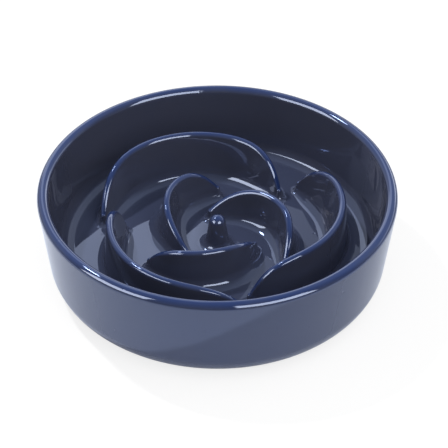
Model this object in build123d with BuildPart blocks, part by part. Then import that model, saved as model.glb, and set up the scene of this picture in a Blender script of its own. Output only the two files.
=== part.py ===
from build123d import *
from math import acos, cos, degrees, pi, radians, sin
import os

# Slow feeder bowl in glazed ceramic, with a rose maze of petals on its floor.
# Millimetres, +Z up, origin on the bowl's axis at the surface that it stands on.
# Bearings, spans and drafts are in degrees. A bearing counts from +X towards +Y.

# Bowl shell. The base diameter is where the outer wall would meet the underside
# if the lower edge weren't rounded.
bowl_diameter = 206
bowl_height = 61
base_diameter = 193
base_corner_radius = 16
lip_thickness = 6.6
wall_foot_thickness = 7
floor_height = 19
floor_cove_radius = 9.5
base_thickness = 9

# Foot ring and the recess inside it
foot_diameter = 152
foot_width = 8
foot_height = 2
foot_edge_radius = 0.8
recess_taper = 5
recess_cove_radius = 4

# Petal cross-section at full height. The outer petals stand steeper on the side of the bowl's wall.
crest_radius = 2.2
petal_draft_angle = 8
petal_cove_radius = 7.5
wall_side_draft_angle = 4
wall_side_cove_radius = 5
foot_land = 0.4

# Petal ends. The radii shrink with these powers of the height, so a petal thins towards its
# toes. The lean moves the highest part of the crest towards the end with the smaller bearing.
toe_height = 7
crest_thinning_power = 1 / 4
cove_thinning_power = 1 / 2
crest_lean_share = 0.1
section_count = 13

# Outer petals, each on an arc whose centre stands off the bowl's axis. The arc's
# radius leaves the gap between the petal's foot and the cove of the bowl's wall.
outer_petal_height = 30
outer_petal_gap = 0.5
outer_centre_offset = 15.5
outer_centre_bearing = 14.3
outer_middle_bearing = -16.5
outer_half_span_angle = 70
outer_crest_power = 6

# Inner petals, on tighter arcs and with a rounder crest line
inner_petal_height = 23.5
inner_arc_radius = 34
inner_centre_offset = 12
inner_centre_bearing = -51
inner_middle_bearing = 44
inner_half_span_angle = 66
inner_crest_power = 2.8

# Centre bud
bud_height = 20
bud_dome_radius = 4.8
bud_draft_angle = 9
bud_cove_radius = 5

# One petal for each place round the rose, in the order of growing bearing
full_turn = 360
outer_places = ("right", "back", "front")
inner_places = ("right", "left", "front")

os.makedirs("parts", exist_ok=True)


def save(piece, name):
    """Label a finished piece and write it under its name."""
    piece.label = name
    export_step(piece, f"parts/{name}.step")


def unit(bearing):
    """Level unit vector that points along a bearing."""
    return Vector(cos(radians(bearing)), sin(radians(bearing)))


def tangent_point(point, centre, radius, side):
    """Where a line from a point touches a circle, on its right (1) or left (-1)."""
    towards = point - centre
    swing = degrees(acos(radius / towards.length))
    return centre + towards.normalized().rotate(Axis.Z, side * swing) * radius


def foot_reach(height, crest, cove, draft):
    """Half the width of a ridge where it meets the floor."""
    slope = radians(draft)
    side_rise = height - crest - cove - foot_land
    return (crest + cove + side_rise * sin(slope)) / cos(slope)


def half_ridge(hand, height, crest, cove, draft):
    """Draw the right (1) or left (-1) half of a ridge: land, cove, drafted side and round crest.

    The cove is tangent to the land and to the side, and the crest is tangent to the side.
    """
    slope = radians(draft)
    reach = foot_reach(height, crest, cove, draft)
    land_top = (hand * reach, foot_land)
    side_foot = (hand * (reach - cove * cos(slope)), foot_land + cove - cove * sin(slope))
    side_top = (hand * crest * cos(slope), height - crest + crest * sin(slope))
    Polyline((0, 0), (hand * reach, 0), land_top)
    RadiusArc(land_top, side_foot, hand * cove)
    Line(side_foot, side_top)
    RadiusArc(side_top, (0, height), -hand * crest)


# Bowl shell: wall, full-round lip, floor and recessed underside turned in one profile
bowl_radius = bowl_diameter / 2
base_radius = base_diameter / 2
foot_outer_radius = foot_diameter / 2
foot_inner_radius = foot_outer_radius - foot_width
underside_height = floor_height - base_thickness
floor_rise_share = (floor_height - foot_height) / (bowl_height - foot_height)
wall_radius_at_floor = base_radius + (bowl_radius - base_radius) * floor_rise_share

base_corner = Vector(base_radius, foot_height)
floor_corner = Vector(wall_radius_at_floor - wall_foot_thickness, floor_height)
recess_mouth = Vector(foot_inner_radius, foot_height)
recess_corner = Vector(foot_inner_radius - recess_taper, underside_height)

lip_radius = lip_thickness / 2
lip_middle = Vector(bowl_radius - lip_radius, bowl_height - lip_radius)
lip_top = Vector(lip_middle.X, bowl_height)
lip_outside = tangent_point(base_corner, lip_middle, lip_radius, 1)
lip_inside = tangent_point(floor_corner, lip_middle, lip_radius, -1)

with BuildPart() as bowl_shell:
    with BuildSketch(Plane.XZ) as shell_profile:
        with BuildLine():
            Polyline(
                lip_inside,
                floor_corner,
                (0, floor_height),
                (0, underside_height),
                recess_corner,
                recess_mouth,
                base_corner,
                lip_outside,
            )
            ThreePointArc(lip_outside, lip_top, lip_inside)
        make_face()
        for corner, radius in (
            (base_corner, base_corner_radius),
            (floor_corner, floor_cove_radius),
            (recess_corner, recess_cove_radius),
        ):
            fillet(shell_profile.vertices().sort_by_distance(corner)[0], radius)
    revolve(axis=Axis.Z)
save(bowl_shell.part, "bowl_shell")


# Foot ring: the bare clay ring that stands on the table
with BuildPart() as foot_ring:
    with BuildSketch(Plane.XZ) as foot_profile:
        with Locations((foot_inner_radius, 0)):
            Rectangle(foot_width, foot_height, align=(Align.MIN, Align.MIN))
        fillet(foot_profile.vertices().group_by(Axis.Y)[0], foot_edge_radius)
    revolve(axis=Axis.Z)
save(foot_ring.part, "foot_ring")


def ridge_face(plane, height, full_height, outside, whole):
    """Cross-section of a petal, or its inner half, on a plane that stands across the petal.

    The outside is a draft and a cove radius. They count in full at the full height. Down at the
    toes the outer half is like the inner half.
    """
    outside_draft, outside_cove = outside
    crest = crest_radius * (height / full_height) ** crest_thinning_power
    cove_share = (height / full_height) ** cove_thinning_power
    rise_share = (height - toe_height) / (full_height - toe_height)
    draft = petal_draft_angle + (outside_draft - petal_draft_angle) * rise_share
    cove = petal_cove_radius + (outside_cove - petal_cove_radius) * rise_share
    with BuildSketch(plane) as section:
        with BuildLine():
            half_ridge(-1, height, crest, petal_cove_radius * cove_share, petal_draft_angle)
            if whole:
                half_ridge(1, height, crest, cove * cove_share, draft)
            else:
                Line((0, height), (0, 0))
        make_face()
    return section.sketch


def rose_petal(centre, arc_radius, middle_bearing, half_span, full_height, crest_power, outside):
    """Ridge along an arc on the floor, lofted through sections that crowd towards its ends.

    At a share u of the half span, from -1 to 1, the crest stands at
    toe_height + (full_height - toe_height) * (1 - |v| ** crest_power),
    where v = u + crest_lean_share * (1 - u ** 2).
    Each end is closed by a toe: half of the end section turned about its own middle line.
    """

    def across(u):
        outward = unit(middle_bearing + half_span * u)
        along = outward.rotate(Axis.Z, -full_turn / 4)
        return Plane(centre + outward * arc_radius, x_dir=outward, z_dir=along)

    def crest(u):
        v = u + crest_lean_share * (1 - u**2)
        return toe_height + (full_height - toe_height) * (1 - abs(v) ** crest_power)

    stations = [sin(pi / 2 * (2 * i / (section_count - 1) - 1)) for i in range(section_count)]
    with BuildPart() as petal:
        loft([ridge_face(across(u), crest(u), full_height, outside, True) for u in stations])
        for end in (-1, 1):
            toe = ridge_face(across(end), toe_height, full_height, outside, False)
            revolve(toe, Axis(across(end).origin, (0, 0, 1)), -end * full_turn / 2)
    return petal.part


# Rose petals: three outer and three inner, a third of a turn apart
floor_middle = Vector(0, 0, floor_height)
wall_side = (wall_side_draft_angle, wall_side_cove_radius)
open_side = (petal_draft_angle, petal_cove_radius)
outer_reach = foot_reach(
    outer_petal_height, crest_radius, wall_side_cove_radius, wall_side_draft_angle
)
floor_flat_radius = floor_corner.X - floor_cove_radius
outer_arc_radius = floor_flat_radius - outer_petal_gap - outer_reach - outer_centre_offset

for i, place in enumerate(outer_places):
    turn = full_turn / len(outer_places) * i
    outer_petal = rose_petal(
        floor_middle + unit(outer_centre_bearing + turn) * outer_centre_offset,
        outer_arc_radius,
        outer_middle_bearing + turn,
        outer_half_span_angle,
        outer_petal_height,
        outer_crest_power,
        wall_side,
    )
    save(outer_petal, f"outer_petal_{place}")

for i, place in enumerate(inner_places):
    turn = full_turn / len(inner_places) * i
    inner_petal = rose_petal(
        floor_middle + unit(inner_centre_bearing + turn) * inner_centre_offset,
        inner_arc_radius,
        inner_middle_bearing + turn,
        inner_half_span_angle,
        inner_petal_height,
        inner_crest_power,
        open_side,
    )
    save(inner_petal, f"inner_petal_{place}")


# Centre bud: a domed post turned on the bowl's axis
with BuildPart() as centre_bud:
    with BuildSketch(Plane(floor_middle, x_dir=(1, 0, 0), z_dir=(0, -1, 0))):
        with BuildLine():
            half_ridge(1, bud_height, bud_dome_radius, bud_cove_radius, bud_draft_angle)
            Line((0, bud_height), (0, 0))
        make_face()
    revolve(axis=Axis.Z)
save(centre_bud.part, "centre_bud")
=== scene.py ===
# %% [markdown]
# # A slow feeder bowl with a rose of petals
# The real bowl is one fired piece of stoneware under a glossy navy glaze. Raised petals curl over its
# floor, so that food lies in winding channels and a pet has to eat slowly. This lesson dresses the
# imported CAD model. Each solid gets a smooth skin of the same size, the glaze breaks to a clearer blue
# over narrow edges, and a plain studio lights it. The CAD model is loaded first, because sizes and
# places come from it.

import bmesh
import bpy
import numpy as np
from mathutils import Matrix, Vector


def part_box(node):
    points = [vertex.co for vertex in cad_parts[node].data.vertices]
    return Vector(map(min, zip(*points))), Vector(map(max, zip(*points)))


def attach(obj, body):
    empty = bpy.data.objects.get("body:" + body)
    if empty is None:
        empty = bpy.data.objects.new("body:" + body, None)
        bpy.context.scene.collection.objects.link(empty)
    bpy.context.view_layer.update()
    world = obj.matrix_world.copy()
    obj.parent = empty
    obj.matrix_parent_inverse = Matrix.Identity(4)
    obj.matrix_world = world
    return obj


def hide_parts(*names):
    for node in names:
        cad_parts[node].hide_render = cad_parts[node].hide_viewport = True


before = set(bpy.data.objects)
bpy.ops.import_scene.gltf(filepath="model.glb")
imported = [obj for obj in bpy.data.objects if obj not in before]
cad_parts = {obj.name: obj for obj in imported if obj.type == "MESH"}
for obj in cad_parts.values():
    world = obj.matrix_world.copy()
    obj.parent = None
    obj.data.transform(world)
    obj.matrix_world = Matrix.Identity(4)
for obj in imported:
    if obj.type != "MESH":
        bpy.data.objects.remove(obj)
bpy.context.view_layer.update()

print("CAD nodes:", ", ".join(sorted(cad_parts)))

# %% [markdown]
# ## Sizes
# Blender works in metres, while a potter's drawing is in millimetres, so each length below is a number
# of millimetres times one constant. The outer sizes are read from the boxes of the CAD nodes. The radii
# inside a section can't be read from a box, so they are repeated from the drawing.

# %% Sizes of the shell and its foot
MM = 0.001
shell_low, shell_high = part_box("bowl_shell")
foot_low, foot_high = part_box("foot_ring")
petal_low, petal_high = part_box("outer_petal_right")

bowl_radius = min(shell_high.x, shell_high.y, -shell_low.x, -shell_low.y)
bowl_height = shell_high.z
floor_z = petal_low.z
foot_top = shell_low.z
foot_radius = foot_high.x

base_radius = 96.5 * MM
base_corner_radius = 16 * MM
lip_radius = 3.3 * MM
wall_foot_thickness = 7 * MM
floor_cove_radius = 9.5 * MM
base_thickness = 9 * MM
foot_width = 8 * MM
foot_edge_radius = 0.8 * MM
recess_taper = 5 * MM
recess_cove_radius = 4 * MM
print("Bowl radius and height in mm:", round(bowl_radius / MM, 2), round(bowl_height / MM, 2))

# %% [markdown]
# ## Profiles
# Every piece of this bowl is a section that is carried along a path: round the axis for the shell, the
# foot and the bud, and round the foot line of a petal. A lathe modifier would turn the first three, but
# not the petals, whose section changes as it goes. So the sections are worked out as arrays, and one
# function carries them all. A third column beside each point tells how thick the glaze lies there: 0.5
# is even, 1 is thin over a narrow edge and 0 is pooled, on the level floor and at the foot of a cove.

# %% Straight runs, arcs and rounded corners
POOLED = 0.0
EVEN = 0.5
THIN = 1.0


def unit(vector):
    """The vector divided by its own length."""
    return vector / np.linalg.norm(vector)


def with_glaze(points, bend, level=EVEN):
    """Adds the glaze column: level + s (EVEN - level) + bend (THIN - EVEN) sin(pi s).

    The share s runs from 0 to 1 along the points, so the glaze starts at the level and ends even.
    """
    s = np.linspace(0, 1, len(points))
    return np.column_stack([points, level + s * (EVEN - level) + bend * (THIN - EVEN) * np.sin(np.pi * s)])


def straight(start, stop, steps):
    """Points start + s * (stop - start), where s runs from 0 to 1."""
    s = np.linspace(0, 1, steps)[:, None]
    return with_glaze(np.asarray(start) + s * (np.asarray(stop) - np.asarray(start)), 0)


def arc(centre, radius, first, last, steps, bend):
    """Points centre + radius * (cos a, sin a), where a runs from first to last in degrees."""
    a = np.radians(np.linspace(first, last, steps))[:, None]
    return with_glaze(np.asarray(centre) + radius * np.hstack([np.cos(a), np.sin(a)]), bend)


def rounded_corner(before, corner, after, radius, steps, bend, level=EVEN):
    """Arc that rounds a corner of a profile.

    Unit vectors p and q point from the corner to its neighbours, and h is half the angle between them.
    The centre is corner + unit(p + q) * radius / sin h. The arc starts at corner + p * radius / tan h, ends
    at corner + q * radius / tan h, and turns by pi - 2 h between them at an even speed.
    """
    p = unit(before - corner)
    q = unit(after - corner)
    h = np.arccos(p @ q) / 2
    centre = corner + unit(p + q) * radius / np.sin(h)
    first = corner + p * radius / np.tan(h) - centre
    last = corner + q * radius / np.tan(h) - centre
    turn = np.pi - 2 * h
    s = np.linspace(0, 1, steps)[:, None]
    points = centre + (np.sin((1 - s) * turn) * first + np.sin(s * turn) * last) / np.sin(turn)
    return with_glaze(points, bend, level)


def joined(*runs):
    """Stacks runs that meet end to end, and keeps each meeting point once."""
    return np.vstack([run[:-1] for run in runs[:-1]] + [runs[-1]])


# %% [markdown]
# ## One skin for all pieces
# A grid of points becomes a mesh by joining each point to the next along the profile and the next along
# the path. The path is closed, so the last column joins the first. Points that fall together, at the
# axis and along the crest of a petal, are merged afterwards, which closes the skin. Smooth shading with
# sharp edges by angle keeps the glaze flowing over the roundings and breaks it only at true corners.

# %% Carry a profile along a path and skin it
SHARP_ANGLE = 40
MERGE_DISTANCE = 0.002 * MM


def carried(offset, height, base, bearing):
    """Grid of points: base + offset * (cos bearing, sin bearing), at the given height.

    Rows follow the profile and columns follow the path. Base and bearing have one entry for each column.
    """
    across = np.stack([np.cos(bearing), np.sin(bearing)], axis=-1)
    level = base[None] + offset[..., None] * across[None]
    height = np.broadcast_to(height, level.shape[:2])
    return np.concatenate([level, height[..., None]], axis=-1)


def skin(name, points, glaze, finish):
    """Mesh over a grid of points, which becomes a piece that rides on the bowl.

    The corners of a quad are (row, column), (row + 1, column), (row + 1, column + 1) and (row, column + 1).
    The glaze column goes into a point attribute, and the piece stands for its CAD node.
    """
    rows, columns = points.shape[:2]
    here = np.arange(rows * columns).reshape(rows, columns)
    beside = np.roll(here, -1, axis=1)
    quads = np.stack([here[:-1], here[1:], beside[1:], beside[:-1]], axis=-1).reshape(-1, 4)
    mesh = bpy.data.meshes.new(name)
    mesh.from_pydata(points.reshape(-1, 3).tolist(), [], quads.tolist())
    thickness = mesh.attributes.new("glaze", "FLOAT", "POINT")
    thickness.data.foreach_set("value", np.broadcast_to(glaze[:, None], (rows, columns)).ravel())
    work = bmesh.new()
    work.from_mesh(mesh)
    bmesh.ops.remove_doubles(work, verts=work.verts, dist=MERGE_DISTANCE)
    work.to_mesh(mesh)
    work.free()
    mesh.polygons.foreach_set("use_smooth", np.ones(len(mesh.polygons), bool))
    mesh.set_sharp_from_angle(angle=np.radians(SHARP_ANGLE))
    mesh.materials.append(finish)
    piece = bpy.data.objects.new(name + "_skin", mesh)
    bpy.context.scene.collection.objects.link(piece)
    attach(piece, "root")
    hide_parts(name)
    print(name, "has", len(mesh.polygons), "faces")


# %% [markdown]
# ## Node helper
# The finishes below are node trees. One small function adds a node, sets its options and fills its
# sockets, with a link where the value is another node's socket.

# %% Add a node in one line
def add(tree, kind, sockets=None, **options):
    """New node of a kind. Sockets maps a socket's name or number to a value or to a socket to link."""
    made = tree.nodes.new(kind)
    for name, value in options.items():
        setattr(made, name, value)
    for name, value in (sockets or {}).items():
        if isinstance(value, bpy.types.NodeSocket):
            tree.links.new(value, made.inputs[name])
        else:
            made.inputs[name].default_value = value
    return made


# %% [markdown]
# ## What the kiln leaves on every surface
# Glaze and bare clay both come out of the kiln a little uneven: a slow drift in tone, small specks from
# iron in the clay, and a surface that is never quite flat. Both finishes need these, so they are a node
# group that is built once. It reads the place on the piece and puts out three values, and each finish
# decides what to do with them.

# %% Node group for drift, specks and waves
SPECK_EDGE = 0.16
SPECK_CORE = 0.05
DRIFT_DETAIL = 3
WAVE_DETAIL = 1

fired = bpy.data.node_groups.new("fired_surface", "ShaderNodeTree")
for name, kind in (("Place", "NodeSocketVector"), ("Drift scale", "NodeSocketFloat"),
                   ("Speck scale", "NodeSocketFloat"), ("Speck share", "NodeSocketFloat"),
                   ("Wave scale", "NodeSocketFloat")):
    fired.interface.new_socket(name, in_out="INPUT", socket_type=kind)
for name in ("Drift", "Specks", "Waves"):
    fired.interface.new_socket(name, in_out="OUTPUT", socket_type="NodeSocketFloat")
given = add(fired, "NodeGroupInput").outputs
drift = add(fired, "ShaderNodeTexNoise", {"Vector": given["Place"], "Scale": given["Drift scale"],
                                          "Detail": DRIFT_DETAIL})
waves = add(fired, "ShaderNodeTexNoise", {"Vector": given["Place"], "Scale": given["Wave scale"],
                                          "Detail": WAVE_DETAIL})
cells = add(fired, "ShaderNodeTexVoronoi", {"Vector": given["Place"], "Scale": given["Speck scale"]})
dot = add(fired, "ShaderNodeMapRange", {"Value": cells.outputs["Distance"], "From Min": SPECK_EDGE,
                                        "From Max": SPECK_CORE})
chance = add(fired, "ShaderNodeSeparateColor", {"Color": cells.outputs["Color"]})
chosen = add(fired, "ShaderNodeMath", {0: chance.outputs["Red"], 1: given["Speck share"]},
             operation="LESS_THAN")
specks = add(fired, "ShaderNodeMath", {0: dot.outputs["Result"], 1: chosen.outputs[0]}, operation="MULTIPLY")
add(fired, "NodeGroupOutput", {"Drift": drift.outputs["Fac"], "Specks": specks.outputs[0],
                               "Waves": waves.outputs["Fac"]})
print("Node group", fired.name, "with", len(fired.nodes), "nodes")

# %% [markdown]
# ## Navy glaze
# The glaze is a glassy coat: a greyed navy on the steep sides, a little bluer where it pools on the
# floor, and a deep clear blue where it runs thin over the lip and the crests. A single dark colour
# would lose that, so a colour ramp reads the glaze column of the skins, with the drift added so that
# the break isn't ruled. Pinholes and long soft waves go into the bump, and they are what keeps the
# reflections from looking like plastic. The mirrored light is tinted blue too, because part of it comes
# back from inside the glass.

# %% Navy glaze material
POOLED_NAVY = (0.031, 0.038, 0.070, 1)
EVEN_NAVY = (0.039, 0.043, 0.067, 1)
THIN_BLUE = (0.012, 0.024, 0.085, 1)
EVEN_STOP = 0.55
GLAZE_TINT = (0.46, 0.60, 1.0, 1)
GLAZE_IOR = 1.7
GLAZE_SURFACE = {"Drift scale": 55, "Speck scale": 160, "Speck share": 0.16, "Wave scale": 38}
GLAZE_WANDER = 0.3
GLAZE_ROUGHNESS = (0.01, 0.05)
PIT_DEPTH = 0.8
WAVE_STRENGTH = 0.2
WAVE_HEIGHT = 0.4 * MM

glaze = bpy.data.materials.new("navy_glaze")
glaze.use_nodes = True
tree = glaze.node_tree
shader = tree.nodes["Principled BSDF"]
shader.inputs["IOR"].default_value = GLAZE_IOR
shader.inputs["Specular Tint"].default_value = GLAZE_TINT
place = add(tree, "ShaderNodeTexCoord").outputs["Object"]
surface = add(tree, "ShaderNodeGroup", {"Place": place, **GLAZE_SURFACE}, node_tree=fired)
thickness = add(tree, "ShaderNodeAttribute", attribute_name="glaze")
wander = add(tree, "ShaderNodeMath", {0: surface.outputs["Drift"], 1: GLAZE_WANDER, 2: -GLAZE_WANDER / 2},
             operation="MULTIPLY_ADD")
uneven = add(tree, "ShaderNodeMath", {0: thickness.outputs["Fac"], 1: wander.outputs[0]}, operation="ADD")
breaking = add(tree, "ShaderNodeValToRGB", {"Fac": uneven.outputs[0]})
ramp = breaking.color_ramp
ramp.elements[0].color = POOLED_NAVY
ramp.elements[1].color = THIN_BLUE
ramp.elements.new(EVEN_STOP).color = EVEN_NAVY
tree.links.new(breaking.outputs["Color"], shader.inputs["Base Color"])
gloss = add(tree, "ShaderNodeMapRange", {"Value": surface.outputs["Drift"], "To Min": GLAZE_ROUGHNESS[0],
                                         "To Max": GLAZE_ROUGHNESS[1]})
tree.links.new(gloss.outputs["Result"], shader.inputs["Roughness"])
pits = add(tree, "ShaderNodeMath", {0: surface.outputs["Specks"], 1: -PIT_DEPTH, 2: surface.outputs["Waves"]},
           operation="MULTIPLY_ADD")
relief = add(tree, "ShaderNodeBump", {"Height": pits.outputs[0], "Strength": WAVE_STRENGTH,
                                      "Distance": WAVE_HEIGHT})
tree.links.new(relief.outputs["Normal"], shader.inputs["Normal"])
print("Material", glaze.name, "with", len(tree.nodes), "nodes")

# %% [markdown]
# ## Bare clay
# The foot ring is wiped clean before firing, so that the bowl doesn't stick to the kiln shelf. It shows
# the clay: warm grey, matt and gritty, with dark iron specks. The same node group gives the grain, at a
# finer scale and with more specks than the glaze has.

# %% Bare clay material
CLAY_LIGHT = (0.66, 0.60, 0.52, 1)
CLAY_DARK = (0.54, 0.47, 0.39, 1)
IRON_BROWN = (0.16, 0.10, 0.06, 1)
CLAY_SURFACE = {"Drift scale": 240, "Speck scale": 420, "Speck share": 0.22, "Wave scale": 1600}
CLAY_ROUGHNESS = (0.75, 0.95)
GRIT_STRENGTH = 0.5
GRIT_HEIGHT = 0.1 * MM

clay = bpy.data.materials.new("bare_clay")
clay.use_nodes = True
tree = clay.node_tree
shader = tree.nodes["Principled BSDF"]
place = add(tree, "ShaderNodeTexCoord").outputs["Object"]
surface = add(tree, "ShaderNodeGroup", {"Place": place, **CLAY_SURFACE}, node_tree=fired)
tone = add(tree, "ShaderNodeValToRGB", {"Fac": surface.outputs["Drift"]})
tone.color_ramp.elements[0].color = CLAY_DARK
tone.color_ramp.elements[1].color = CLAY_LIGHT
speckled = add(tree, "ShaderNodeMix", {0: surface.outputs["Specks"], 6: tone.outputs["Color"], 7: IRON_BROWN},
               data_type="RGBA")
tree.links.new(speckled.outputs[2], shader.inputs["Base Color"])
matt = add(tree, "ShaderNodeMapRange", {"Value": surface.outputs["Drift"], "To Min": CLAY_ROUGHNESS[0],
                                        "To Max": CLAY_ROUGHNESS[1]})
tree.links.new(matt.outputs["Result"], shader.inputs["Roughness"])
grit = add(tree, "ShaderNodeBump", {"Height": surface.outputs["Waves"], "Strength": GRIT_STRENGTH,
                                    "Distance": GRIT_HEIGHT})
tree.links.new(grit.outputs["Normal"], shader.inputs["Normal"])
print("Material", clay.name, "with", len(tree.nodes), "nodes")

# %% [markdown]
# ## Shell
# The shell is thrown or jiggered: one section turned about the axis. The section runs from the middle
# of the floor through the cove, up the inner wall, over the full round lip, down the outside, round the
# soft lower edge and into the recess under the floor. Both walls touch the lip without a corner, so the
# touching points are worked out instead of guessed, and highlights run along the lip unbroken.

# %% Section of the shell
TURN_STEPS = 288


def touching_point(point, centre, radius, side):
    """Where a line from a point touches a circle: the direction from the centre to the point, swung by
    acos(radius / distance) to the right (1) or to the left (-1), times the radius."""
    towards = point - centre
    swing = side * np.arccos(radius / np.linalg.norm(towards))
    turned = np.array([[np.cos(swing), -np.sin(swing)], [np.sin(swing), np.cos(swing)]]) @ unit(towards)
    return centre + turned * radius


def turned_path(steps):
    """A path that stays on the axis and looks round it once: base (0, 0), bearing 2 pi i / steps."""
    return np.zeros((steps, 2)), np.linspace(0, 2 * np.pi, steps, endpoint=False)


rise_share = (floor_z - foot_top) / (bowl_height - foot_top)
wall_at_floor = base_radius + (bowl_radius - base_radius) * rise_share
underside_z = floor_z - base_thickness
foot_inside = foot_radius - foot_width

axis_floor = np.array([0, floor_z])
floor_corner = np.array([wall_at_floor - wall_foot_thickness, floor_z])
base_corner = np.array([base_radius, foot_top])
recess_mouth = np.array([foot_inside, foot_top])
recess_corner = np.array([foot_inside - recess_taper, underside_z])
axis_underside = np.array([0, underside_z])
lip_middle = np.array([bowl_radius - lip_radius, bowl_height - lip_radius])
lip_inside = touching_point(floor_corner, lip_middle, lip_radius, -1)
lip_outside = touching_point(base_corner, lip_middle, lip_radius, 1)
lip_first, lip_last = (
    np.degrees(np.arctan2(*(end - lip_middle)[::-1])) for end in (lip_inside, lip_outside)
)

cove = rounded_corner(
    axis_floor, floor_corner, lip_inside, floor_cove_radius, steps=25, bend=0, level=POOLED
)
lip = arc(lip_middle, lip_radius, lip_first, lip_last, steps=49, bend=1)
edge = rounded_corner(lip_outside, base_corner, recess_mouth, base_corner_radius, steps=33, bend=0.3)
hollow = rounded_corner(recess_mouth, recess_corner, axis_underside, recess_cove_radius, steps=13, bend=-1)
level_floor = straight(axis_floor, cove[0, :2], steps=12)
level_floor[:, 2] = POOLED
shell_section = joined(
    level_floor,
    cove,
    straight(cove[-1, :2], lip[0, :2], steps=16),
    lip,
    straight(lip[-1, :2], edge[0, :2], steps=24),
    edge,
    straight(edge[-1, :2], recess_mouth, steps=6),
    straight(recess_mouth, hollow[0, :2], steps=6),
    hollow,
    straight(hollow[-1, :2], axis_underside, steps=8),
)
print("Shell section has", len(shell_section), "points")
print("The lip turns", round(lip_first - lip_last), "degrees")

# %% Skin of the shell
base, bearing = turned_path(TURN_STEPS)
shell_grid = carried(shell_section[:, :1] + 0 * bearing, shell_section[:, 1:2], base, bearing)
skin("bowl_shell", shell_grid, shell_section[:, 2], glaze)

# %% [markdown]
# ## Foot ring
# The bowl stands on a low ring of bare clay. Its two lower edges are rubbed round so that they don't
# scratch a floor. It is turned like the shell, and its section is closed, so the first point is
# repeated at the end.

# %% Section and skin of the foot ring
top_inside = np.array([foot_inside, foot_top])
top_outside = np.array([foot_radius, foot_top])
low_outside = np.array([foot_radius, foot_low.z])
low_inside = np.array([foot_inside, foot_low.z])
outer_edge = rounded_corner(top_outside, low_outside, low_inside, foot_edge_radius, steps=9, bend=0)
inner_edge = rounded_corner(low_outside, low_inside, top_inside, foot_edge_radius, steps=9, bend=0)
foot_section = joined(
    straight(top_inside, top_outside, steps=5),
    straight(top_outside, outer_edge[0, :2], steps=3),
    outer_edge,
    straight(outer_edge[-1, :2], inner_edge[0, :2], steps=6),
    inner_edge,
    straight(inner_edge[-1, :2], top_inside, steps=3),
)
foot_grid = carried(foot_section[:, :1] + 0 * bearing, foot_section[:, 1:2], base, bearing)
skin("foot_ring", foot_grid, foot_section[:, 2], clay)

# %% [markdown]
# ## Petals
# A petal is a ridge with a round crest, steep sides with a little draft so that it leaves its mould,
# and a cove where it flows into the floor. Seen from above it follows an arc. Its crest is level along
# the middle and falls away towards both ends, where the ridge also gets thinner. The path runs once
# round the petal: out along one side, round the toe, back along the other side and round the other toe.
# Half a section is carried along it, and the two sides meet at the crest.

# %% Half a ridge
CREST_STEPS = 15
SIDE_STEPS = 9
COVE_STEPS = 15


def half_ridge(height, crest, cove, draft):
    """Offset, height and glaze of half a ridge, from the top of the crest to the floor and under its middle.

    Crest: (crest cos a, height - crest + crest sin a), with a from 90 degrees down to the draft.
    Cove: (reach + cove cos a, cove + cove sin a), with a from 180 degrees plus the draft to 270, and
    reach = (crest + cove + (height - crest - cove) sin draft) / cos draft. A straight side joins the arcs.
    All four sizes have one entry for each column of the path.
    """
    slope = np.radians(draft)
    reach = (crest + cove + (height - crest - cove) * np.sin(slope)) / np.cos(slope)
    over = np.radians(np.linspace(90, draft, CREST_STEPS))
    under = np.radians(np.linspace(180 + draft, 270, COVE_STEPS))
    crest_x = crest * np.cos(over)
    crest_z = height - crest + crest * np.sin(over)
    cove_x = reach + cove * np.cos(under)
    cove_z = cove + cove * np.sin(under)
    s = np.linspace(0, 1, SIDE_STEPS)[1:-1, None]
    side_x = crest_x[-1] + s * (cove_x[0] - crest_x[-1])
    side_z = crest_z[-1] + s * (cove_z[0] - crest_z[-1])
    middle = np.zeros((1, len(height)))
    thin = EVEN + (THIN - EVEN) * np.sin(over[:, 0])
    pooled = EVEN + (POOLED - EVEN) * np.sin(np.linspace(0, np.pi / 2, COVE_STEPS))
    offset = np.vstack([crest_x, side_x, cove_x, middle])
    rise = np.vstack([crest_z, side_z, cove_z, middle])
    return offset, rise, np.concatenate([thin, np.full(len(s), EVEN), pooled, [EVEN]])


# %% Path round a petal and its skin
ARC_STEPS = 110
TOE_STEPS = 31
THIRD_OF_A_TURN = 120
crest_radius = 2.2 * MM
petal_cove_radius = 7.5 * MM
petal_draft = 8
wall_side_cove_radius = 5 * MM
wall_side_draft = 4
toe_height = 7 * MM
crest_thinning_power = 1 / 4
cove_thinning_power = 1 / 2
crest_lean = 0.1


def petal(name, centre, arc_radius, middle, half_span, full_height, crest_power, outside_draft, outside_cove):
    """Skin of one petal.

    A station at a share u from -1 to 1 stands at centre + arc_radius * (cos b, sin b), where
    b = middle + half_span u. With v = u + crest_lean (1 - u ** 2), its crest rises from the height of the
    toes to the full height by the share 1 - |v| ** crest_power. The radii shrink with powers of
    height / full_height, and draft and cove of the outer side come in with the rise. The half section looks
    outwards on the way out, swings by half a turn at the end, looks inwards on the way back and swings home.
    """
    u = np.sin(np.linspace(-np.pi / 2, np.pi / 2, ARC_STEPS))
    swing = np.linspace(0, np.pi, TOE_STEPS)[1:-1]
    ends = np.ones(len(swing))
    share = np.concatenate([u, ends, u[::-1], -ends])
    look = np.concatenate([0 * u, swing, np.pi + 0 * u, np.pi + swing])
    along = np.radians(middle + half_span * share)
    v = share + crest_lean * (1 - share ** 2)
    risen = 1 - np.abs(v) ** crest_power
    height = toe_height + (full_height - toe_height) * risen
    outside = risen * (look == 0)
    draft = petal_draft + (outside_draft - petal_draft) * outside
    cove = petal_cove_radius + (outside_cove - petal_cove_radius) * outside
    cove = cove * (height / full_height) ** cove_thinning_power
    crest = crest_radius * (height / full_height) ** crest_thinning_power
    offset, rise, thick = half_ridge(height, crest, cove, draft)
    base = centre + arc_radius * np.column_stack([np.cos(along), np.sin(along)])
    skin(name, carried(offset, floor_z + rise, base, along + look), thick, glaze)


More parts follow.
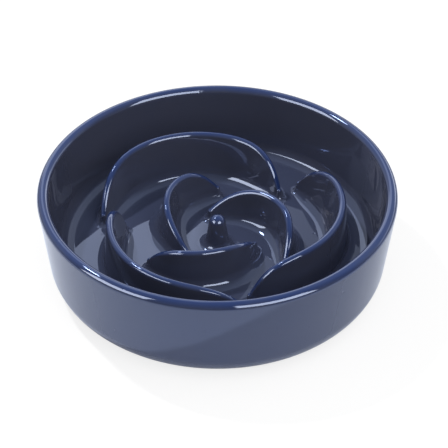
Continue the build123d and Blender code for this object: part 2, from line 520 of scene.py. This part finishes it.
def off_axis(distance, degrees):
    """Point at a distance from the axis on a bearing in degrees."""
    return distance * np.array([np.cos(np.radians(degrees)), np.sin(np.radians(degrees))])


# %% The three outer petals
outer_height = petal_high.z - floor_z
outer_arc_radius = 57.09 * MM
outer_centre_offset = 15.5 * MM
outer_centre_bearing = 14.3
outer_middle_bearing = -16.5
outer_half_span = 70
outer_crest_power = 6
for turn, where in enumerate(("right", "back", "front")):
    swung = THIRD_OF_A_TURN * turn
    petal(
        "outer_petal_" + where,
        off_axis(outer_centre_offset, outer_centre_bearing + swung),
        outer_arc_radius,
        outer_middle_bearing + swung,
        outer_half_span,
        outer_height,
        outer_crest_power,
        wall_side_draft,
        wall_side_cove_radius,
    )

# %% The three inner petals
inner_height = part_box("inner_petal_right")[1].z - floor_z
inner_arc_radius = 34 * MM
inner_centre_offset = 12 * MM
inner_centre_bearing = -51
inner_middle_bearing = 44
inner_half_span = 66
inner_crest_power = 2.8
for turn, where in enumerate(("right", "left", "front")):
    swung = THIRD_OF_A_TURN * turn
    petal(
        "inner_petal_" + where,
        off_axis(inner_centre_offset, inner_centre_bearing + swung),
        inner_arc_radius,
        inner_middle_bearing + swung,
        inner_half_span,
        inner_height,
        inner_crest_power,
        petal_draft,
        petal_cove_radius,
    )

# %% [markdown]
# ## Bud
# In the middle of the rose stands a small domed post. Its section is the same half ridge with a wider
# crest, turned about the axis.

# %% Skin of the bud
BUD_STEPS = 96
bud_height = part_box("centre_bud")[1].z - floor_z
bud_dome_radius = 4.8 * MM
bud_cove_radius = 5 * MM
bud_draft = np.array([9])
base, bearing = turned_path(BUD_STEPS)
offset, rise, thick = half_ridge(np.array([bud_height]), bud_dome_radius, bud_cove_radius, bud_draft)
skin("centre_bud", carried(offset + 0 * bearing, floor_z + rise, base, bearing), thick, glaze)

# %% [markdown]
# ## Studio floor
# The picture has a white ground. A floor that is only painted white looks grey where less light falls,
# so camera rays see a white glow with a share of white paint in it, and the paint keeps the bowl's
# shadow. All other rays see a cool white sheet that ends on a grey table. The sheet throws light up
# onto the outer wall, and the wall mirrors the sheet with the bowl's shadow on it.

# %% Floor
FLOOR_HALF = 4
FLOOR_WHITE = (0.88, 0.88, 0.88, 1)
SHEET_WHITE = (0.81, 0.86, 0.97, 1)
TABLE_GREY = (0.12, 0.12, 0.12, 1)
SHEET_STRETCH = (0.5, 1, 1)
SHEET_MIDDLE = 0.17
SHEET_EDGE = 0.28
SHADOW_SHARE = 0.2

white = bpy.data.materials.new("white_floor")
white.use_nodes = True
tree = white.node_tree
tree.nodes.clear()
place = add(tree, "ShaderNodeTexCoord").outputs["Object"]
squeezed = add(tree, "ShaderNodeVectorMath", {0: place, 1: SHEET_STRETCH}, operation="MULTIPLY")
reach = add(tree, "ShaderNodeVectorMath", {0: squeezed.outputs[0]}, operation="LENGTH")
sheet = add(tree, "ShaderNodeMapRange", {"Value": reach.outputs["Value"], "From Min": SHEET_EDGE,
                                         "From Max": SHEET_MIDDLE})
colour = add(tree, "ShaderNodeMix", {0: sheet.outputs["Result"], 6: TABLE_GREY, 7: SHEET_WHITE},
             data_type="RGBA")
paint = add(tree, "ShaderNodeBsdfDiffuse", {"Color": colour.outputs[2]})
glow = add(tree, "ShaderNodeEmission", {"Strength": 1})
shaded = add(tree, "ShaderNodeBsdfDiffuse", {"Color": FLOOR_WHITE})
pale = add(tree, "ShaderNodeMixShader", {0: SHADOW_SHARE, 1: glow.outputs[0], 2: shaded.outputs[0]})
path = add(tree, "ShaderNodeLightPath")
chosen = add(tree, "ShaderNodeMixShader", {0: path.outputs["Is Camera Ray"], 1: paint.outputs[0],
                                           2: pale.outputs[0]})
add(tree, "ShaderNodeOutputMaterial", {"Surface": chosen.outputs[0]})

corners = FLOOR_HALF * np.array([[-1, -1, 0], [1, -1, 0], [1, 1, 0], [-1, 1, 0]])
floor_mesh = bpy.data.meshes.new("studio_floor")
floor_mesh.from_pydata(corners.tolist(), [], [(0, 1, 2, 3)])
floor_mesh.materials.append(white)
studio_floor = bpy.data.objects.new("studio_floor", floor_mesh)
bpy.context.scene.collection.objects.link(studio_floor)
print("Floor is", 2 * FLOOR_HALF, "m wide")

# %% [markdown]
# ## Studio light
# A matt surface only feels how much light arrives, while a glossy glaze shows the shape of each lamp.
# So two kinds of light are set apart. Three wide softboxes and a small lamp light the bowl at a plain
# level. They are hidden from mirror rays, because the next step paints what the glaze mirrors. The
# widest softbox hangs above on the right, so that its light reaches down into the channels. The small
# lamp stands behind on the left. The edge of the bowl's shadow, mirrored in the outer wall, shows where.

# %% Lamps
LAMP_DISTANCE = 1.5
SOFTBOX_RIGHT = (-55.5, 26, 49, 40)
SOFTBOX_LEFT = (-151.5, 26, 45, 40)
SOFTBOX_ABOVE = (-38, 62, 60, 50)
LAMP_BEHIND = (144, 57.5, 3, 3)


def softbox(name, side, height, wide, tall, radiance):
    """Square-on area lamp at a distance D, which mirror rays don't see.

    Side and height are its bearing and elevation, and wide and tall its angles, all in degrees as seen from
    the bowl. Its sides measure 2 D tan(angle / 2), and its power is pi * area * radiance.
    """
    b, e = np.radians([side, height])
    away = np.array([np.cos(e) * np.cos(b), np.cos(e) * np.sin(b), np.sin(e)])
    sides = 2 * LAMP_DISTANCE * np.tan(np.radians([wide, tall]) / 2)
    lamp = bpy.data.lights.new(name, "AREA")
    lamp.shape = "RECTANGLE"
    lamp.size, lamp.size_y = sides
    lamp.energy = np.pi * sides.prod() * radiance
    stand = bpy.data.objects.new(name, lamp)
    stand.location = LAMP_DISTANCE * away
    stand.rotation_euler = (np.pi / 2 - e, 0, b + np.pi / 2)
    stand.visible_glossy = False
    bpy.context.scene.collection.objects.link(stand)
    print(name, "measures", sides.round(2), "m and gives", round(lamp.energy, 1), "W")


softbox("softbox_right", *SOFTBOX_RIGHT, radiance=0.55)
softbox("softbox_left", *SOFTBOX_LEFT, radiance=0.14)
softbox("softbox_above", *SOFTBOX_ABOVE, radiance=2.0)
softbox("lamp_behind", *LAMP_BEHIND, radiance=740)

# %% [markdown]
# ## What the glaze mirrors
# The world shader paints the room for mirror rays by the direction of a ray. A grey wall stands behind
# the bowl. Left of its middle is a pale panel that shows as light patches on the floor, a strip runs
# along its foot, and a bright window is on the right. The camera's side and the ceiling are dim. The
# two low softboxes shine a little warmer than the rest and draw the highlights along the lip and the
# crests, and the small lamp makes the glints. All other rays see an even dome, and camera rays that
# miss the floor see white.

# %% Mirrored room
BACK_WALL = 0.8
DIM_ROOM = 0.25
DIM_CEILING = 0.45
PANEL_LEVEL = 2.2
STRIP_LEVEL = 2.2
WINDOW_LEVEL = 3.2
SOFTBOX_LIGHT = (12.5, 10.8, 8.5, 1)
LAMP_LEVEL = 45.0
DOME_LEVEL = 0.62
WALL_STARTS, WALL_FULL = -0.1, 0.25
CEILING_STARTS, CEILING_FULL = 0.8, 0.97
PANEL = (104, 36, 28, 30)
STRIP = (70, 13, 110, 13)
WINDOW = (55, 14, 18, 18)
LAMP_GLARE = (144, 55.5, 20, 5)
PATCH_FADE = 0.05

world = bpy.data.worlds.new("studio")
bpy.context.scene.world = world
world.use_nodes = True
tree = world.node_tree
backdrop = tree.nodes["Background"]
direction = add(tree, "ShaderNodeTexCoord").outputs["Generated"]
axes = add(tree, "ShaderNodeSeparateXYZ", {0: direction})
ray_side = add(tree, "ShaderNodeMath", {0: axes.outputs["Y"], 1: axes.outputs["X"]}, operation="ARCTAN2")
ray_height = add(tree, "ShaderNodeMath", {0: axes.outputs["Z"]}, operation="ARCSINE")
wall = add(tree, "ShaderNodeMapRange", {"Value": axes.outputs["Y"], "From Min": WALL_STARTS,
                                        "From Max": WALL_FULL, "To Min": DIM_ROOM, "To Max": BACK_WALL})
ceiling = add(tree, "ShaderNodeMapRange", {"Value": axes.outputs["Z"], "From Min": CEILING_STARTS,
                                           "From Max": CEILING_FULL})
room = add(tree, "ShaderNodeMix", {0: ceiling.outputs["Result"], 2: wall.outputs["Result"], 3: DIM_CEILING})


def grey(level):
    """Colour with the same level in red, green and blue."""
    return level, level, level, 1


def within(angle, middle, width):
    """Mask that is 1 inside a band of directions and fades to 0 over a small share of it at either end."""
    off = add(tree, "ShaderNodeMath", {0: angle.outputs[0], 1: np.radians(middle)}, operation="SUBTRACT")
    near = add(tree, "ShaderNodeMath", {0: off.outputs[0]}, operation="ABSOLUTE")
    outside = np.radians(width / 2)
    inside = np.radians((1 / 2 - PATCH_FADE) * width)
    mask = add(tree, "ShaderNodeMapRange", {"Value": near.outputs[0], "From Min": outside,
                                            "From Max": inside})
    return mask.outputs["Result"]


def painted(below, side, height, wide, tall, above):
    """The colour below, with the colour above painted over it inside a patch of directions."""
    mask = add(tree, "ShaderNodeMath", {0: within(ray_side, side, wide), 1: within(ray_height, height, tall)},
               operation="MULTIPLY")
    over = add(tree, "ShaderNodeMix", {0: mask.outputs[0], 6: below, 7: above}, data_type="RGBA")
    return over.outputs[2]


mirrored = room.outputs[0]
for patch, light in (
    (PANEL, grey(PANEL_LEVEL)),
    (STRIP, grey(STRIP_LEVEL)),
    (WINDOW, grey(WINDOW_LEVEL)),
    (SOFTBOX_RIGHT, SOFTBOX_LIGHT),
    (SOFTBOX_LEFT, SOFTBOX_LIGHT),
    (LAMP_GLARE, grey(LAMP_LEVEL)),
):
    mirrored = painted(mirrored, *patch, light)
path = add(tree, "ShaderNodeLightPath")
shone = add(tree, "ShaderNodeMix", {0: path.outputs["Is Glossy Ray"], 6: grey(DOME_LEVEL), 7: mirrored},
            data_type="RGBA")
seen = add(tree, "ShaderNodeMix", {0: path.outputs["Is Camera Ray"], 6: shone.outputs[2], 7: grey(1)},
           data_type="RGBA")
tree.links.new(seen.outputs[2], backdrop.inputs["Color"])
print("Mirrored room:", BACK_WALL, "behind,", DIM_ROOM, "in front and", DIM_CEILING, "overhead")

# %% [markdown]
# ## Camera
# The picture was taken from in front and above with a long lens. The lens, the height and the aim were
# found by matching the outline of the lip and of the base.

# %% Camera
CAMERA_DISTANCE = 1030 * MM
CAMERA_ELEVATION = np.radians(39.15)
CAMERA_ROLL = np.radians(0.32)
CAMERA_AIM = np.array([3.84, 0, 33.1]) * MM
FOCAL_PIXELS = 1773.4
IMAGE_PIXELS = 448
SENSOR_WIDTH = 36

camera = bpy.data.cameras.new("camera")
camera.sensor_width = SENSOR_WIDTH
camera.lens = camera.sensor_width * FOCAL_PIXELS / IMAGE_PIXELS
viewpoint = bpy.data.objects.new("camera", camera)
backwards = np.array([0, -np.cos(CAMERA_ELEVATION), np.sin(CAMERA_ELEVATION)])
viewpoint.location = CAMERA_AIM + CAMERA_DISTANCE * backwards
tilted = Matrix.Rotation(np.pi / 2 - CAMERA_ELEVATION, 3, "X")
viewpoint.rotation_euler = (tilted @ Matrix.Rotation(CAMERA_ROLL, 3, "Z")).to_euler()
bpy.context.scene.collection.objects.link(viewpoint)
bpy.context.scene.camera = viewpoint
bpy.context.scene.view_settings.view_transform = "Standard"
print("Lens is", round(camera.lens, 1), "mm")
